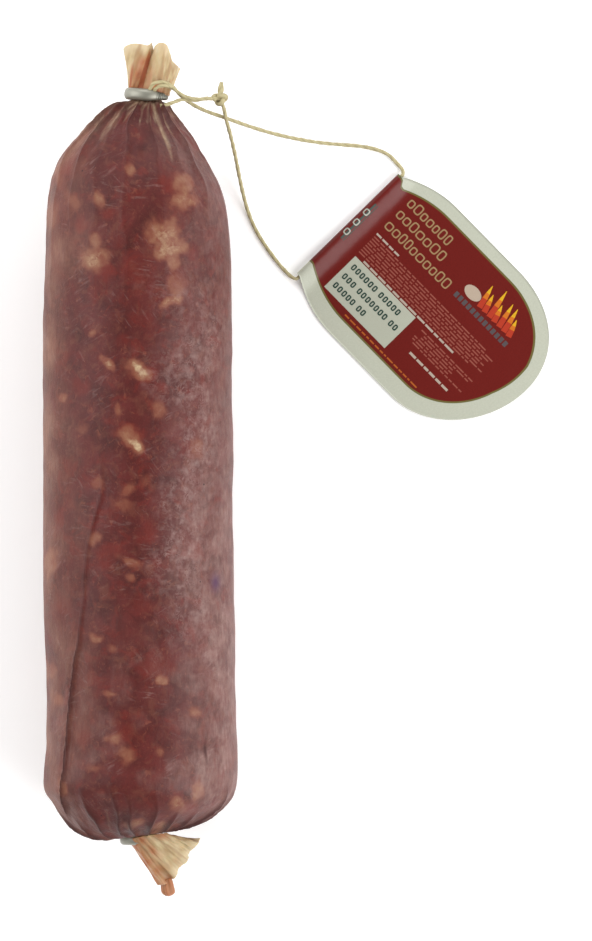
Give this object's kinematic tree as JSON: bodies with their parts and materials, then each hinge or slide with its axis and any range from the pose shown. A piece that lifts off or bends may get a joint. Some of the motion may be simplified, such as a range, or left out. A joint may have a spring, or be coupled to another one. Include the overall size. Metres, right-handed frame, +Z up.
{
  "type": "cured sausage",
  "caption": "Whole salami lying on its side in a natural casing, closed by a wire clip at each gathered end, with a twine loop that carries a folded printed label",
  "frame": {"origin": "On the surface that the sausage rests on, under the middle of its overall length and width, leaving out the twine and the label.", "axes": "+Y runs along the sausage to the end with the twine, +Z is up from the surface it rests on, and +X is towards the label."},
  "size_m": [0.1395, 0.2354, 0.052],
  "materials": {
    "casing": "satin, thin collagen casing over coarse meat and fat",
    "clip_wire": "pale coated wire, satin",
    "twine": "unbleached twisted fibre, matt",
    "label_film": "printed and laminated, soft gloss"
  },
  "bodies": {
    "root": {"sausage": "casing", "top_clip": "clip_wire", "bottom_clip": "clip_wire", "twine_hitch": "twine", "twine": "twine", "twine_knot": "twine", "label": "label_film"}
  },
  "joints": []
}
